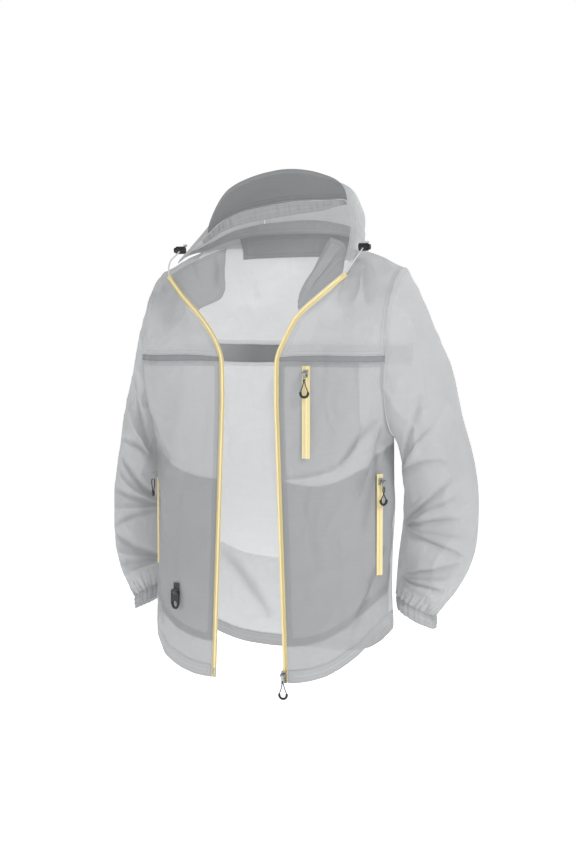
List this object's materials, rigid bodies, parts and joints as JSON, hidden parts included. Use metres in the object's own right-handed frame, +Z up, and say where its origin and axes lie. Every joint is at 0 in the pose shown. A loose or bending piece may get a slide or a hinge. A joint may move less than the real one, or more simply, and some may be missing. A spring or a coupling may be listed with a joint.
{
  "type": "hooded jacket",
  "caption": "Thin hooded jacket with an open front zip, stiff hood brim, zipped pockets, elastic cuffs, cord locks and an accessory hook.",
  "frame": {"origin": "just above the neck seam at the centre back", "axes": "+Z up as worn, +X to the wearer's left, the open front faces -Y"},
  "size_m": [0.663, 0.3209, 0.8501],
  "materials": {
    "shell_fabric": "thin plain weave, half see-through",
    "doubled_fabric": "the same cloth in two layers",
    "dark_tape": "woven band, matt",
    "lining": "thin plain weave",
    "zip_tape": "woven zip tape, pale yellow",
    "zip_metal": "dull cast metal",
    "black_plastic": "moulded plastic",
    "webbing": "woven webbing",
    "elastic_cord": "braided elastic",
    "spring_steel": "bright wire"
  },
  "bodies": {
    "root": {"left_front_panel": "shell_fabric", "left_front_yoke": "shell_fabric", "left_sleeve": "shell_fabric", "left_hem_band": "doubled_fabric", "left_cuff": "doubled_fabric", "left_pocket_bag": "doubled_fabric", "left_chest_tape": "dark_tape", "left_collar_facing": "lining", "left_zip_tape": "zip_tape", "left_zip_coil": "zip_tape", "left_pocket_zip": "zip_tape", "left_hood_cord": "elastic_cord", "right_front_panel": "shell_fabric", "right_front_yoke": "shell_fabric", "right_sleeve": "shell_fabric", "right_hem_band": "doubled_fabric", "right_cuff": "doubled_fabric", "right_pocket_bag": "doubled_fabric", "right_chest_tape": "dark_tape", "right_collar_facing": "lining", "right_zip_tape": "zip_tape", "right_zip_coil": "zip_tape", "right_pocket_zip": "zip_tape", "right_hood_cord": "elastic_cord", "back_panel": "shell_fabric", "back_yoke": "shell_fabric", "hood_left_panel": "shell_fabric", "hood_centre_panel": "shell_fabric", "hood_right_panel": "shell_fabric", "back_band_tape": "dark_tape", "back_neck_facing": "dark_tape", "hood_brim": "dark_tape", "back_hem_band": "doubled_fabric", "hood_drawcord_channel": "doubled_fabric", "chest_pocket_bag": "doubled_fabric", "zip_retaining_box": "zip_metal", "zip_insertion_pin": "zip_metal", "chest_pocket_zip": "zip_tape", "hook_webbing": "webbing"},
    "front_slider": {"front_zip_slider": "zip_metal"},
    "front_pull": {"front_zip_pull_tab": "zip_metal"},
    "front_cord_end": {"front_zip_cord_pull": "black_plastic"},
    "accessory_hook": {"accessory_hook": "black_plastic"},
    "chest_pocket_slider": {"chest_pocket_slider": "zip_metal"},
    "chest_pocket_pull": {"chest_pocket_pull_tab": "zip_metal"},
    "chest_pocket_cord_end": {"chest_pocket_cord_pull": "black_plastic"},
    "left_pocket_slider": {"left_pocket_slider": "zip_metal"},
    "left_pocket_pull": {"left_pocket_pull_tab": "zip_metal"},
    "left_pocket_cord_end": {"left_pocket_cord_pull": "black_plastic"},
    "right_pocket_slider": {"right_pocket_slider": "zip_metal"},
    "right_pocket_pull": {"right_pocket_pull_tab": "zip_metal"},
    "right_pocket_cord_end": {"right_pocket_cord_pull": "black_plastic"},
    "left_cord_lock": {"left_lock_body": "black_plastic", "left_lock_spring": "spring_steel"},
    "left_lock_plunger": {"left_lock_plunger": "black_plastic"},
    "right_cord_lock": {"right_lock_body": "black_plastic", "right_lock_spring": "spring_steel"},
    "right_lock_plunger": {"right_lock_plunger": "black_plastic"}
  },
  "joints": [
    {"name": "front_slider_run", "type": "slide", "parent": "root", "child": "front_slider", "axis": [-0.0356, 0, 0.9994], "range_m": [0, 0.4]},
    {"name": "front_pull_swing", "type": "hinge", "parent": "front_slider", "child": "front_pull", "pos_m": [0.0645, -0.25015, -0.72556], "axis": [-0.9994, 0, -0.0356], "range_deg": [0, 120]},
    {"name": "front_cord_end_swing", "type": "hinge", "parent": "front_pull", "child": "front_cord_end", "pos_m": [0.06493, -0.25015, -0.73765], "axis": [-0.9994, 0, -0.0356], "range_deg": [0, 60]},
    {"name": "chest_pocket_slider_run", "type": "slide", "parent": "root", "child": "chest_pocket_slider", "axis": [0, 0, -1], "range_m": [0, 0.12]},
    {"name": "chest_pocket_pull_swing", "type": "hinge", "parent": "chest_pocket_slider", "child": "chest_pocket_pull", "pos_m": [0.1, -0.24768, -0.2445], "axis": [-1, 0, 0], "range_deg": [0, 120]},
    {"name": "chest_pocket_cord_end_swing", "type": "hinge", "parent": "chest_pocket_pull", "child": "chest_pocket_cord_end", "pos_m": [0.1, -0.24768, -0.2566], "axis": [-1, 0, 0], "range_deg": [0, 60]},
    {"name": "left_pocket_slider_run", "type": "slide", "parent": "root", "child": "left_pocket_slider", "axis": [0, 0, -1], "range_m": [0, 0.138]},
    {"name": "left_pocket_pull_swing", "type": "hinge", "parent": "left_pocket_slider", "child": "left_pocket_pull", "pos_m": [0.20317, -0.15588, -0.4195], "axis": [-0.5, -0.866, 0], "range_deg": [0, 120]},
    {"name": "left_pocket_cord_end_swing", "type": "hinge", "parent": "left_pocket_pull", "child": "left_pocket_cord_end", "pos_m": [0.20317, -0.15588, -0.4316], "axis": [-0.5, -0.866, 0], "range_deg": [0, 60]},
    {"name": "right_pocket_slider_run", "type": "slide", "parent": "root", "child": "right_pocket_slider", "axis": [0, 0, -1], "range_m": [0, 0.138]},
    {"name": "right_pocket_pull_swing", "type": "hinge", "parent": "right_pocket_slider", "child": "right_pocket_pull", "pos_m": [-0.20323, -0.15591, -0.4195], "axis": [-0.5, 0.866, 0], "range_deg": [0, 120]},
    {"name": "right_pocket_cord_end_swing", "type": "hinge", "parent": "right_pocket_pull", "child": "right_pocket_cord_end", "pos_m": [-0.20323, -0.15591, -0.4316], "axis": [-0.5, 0.866, 0], "range_deg": [0, 60]},
    {"name": "left_cord_lock_run", "type": "slide", "parent": "root", "child": "left_cord_lock", "axis": [0, -0.9063, -0.4226], "range_m": [0, 0.022]},
    {"name": "left_lock_press", "type": "slide", "parent": "left_cord_lock", "child": "left_lock_plunger", "axis": [-1, 0, 0], "range_m": [0, 0.0024], "stiffness_N_per_m": 300},
    {"name": "right_cord_lock_run", "type": "slide", "parent": "root", "child": "right_cord_lock", "axis": [0, -0.9063, -0.4226], "range_m": [0, 0.022]},
    {"name": "right_lock_press", "type": "slide", "parent": "right_cord_lock", "child": "right_lock_plunger", "axis": [1, 0, 0], "range_m": [0, 0.0024], "stiffness_N_per_m": 300},
    {"name": "accessory_hook_swing", "type": "hinge", "parent": "root", "child": "accessory_hook", "pos_m": [-0.13185, -0.22709, -0.606], "axis": [-0.9397, 0.342, 0], "range_deg": [0, 150]}
  ]
}
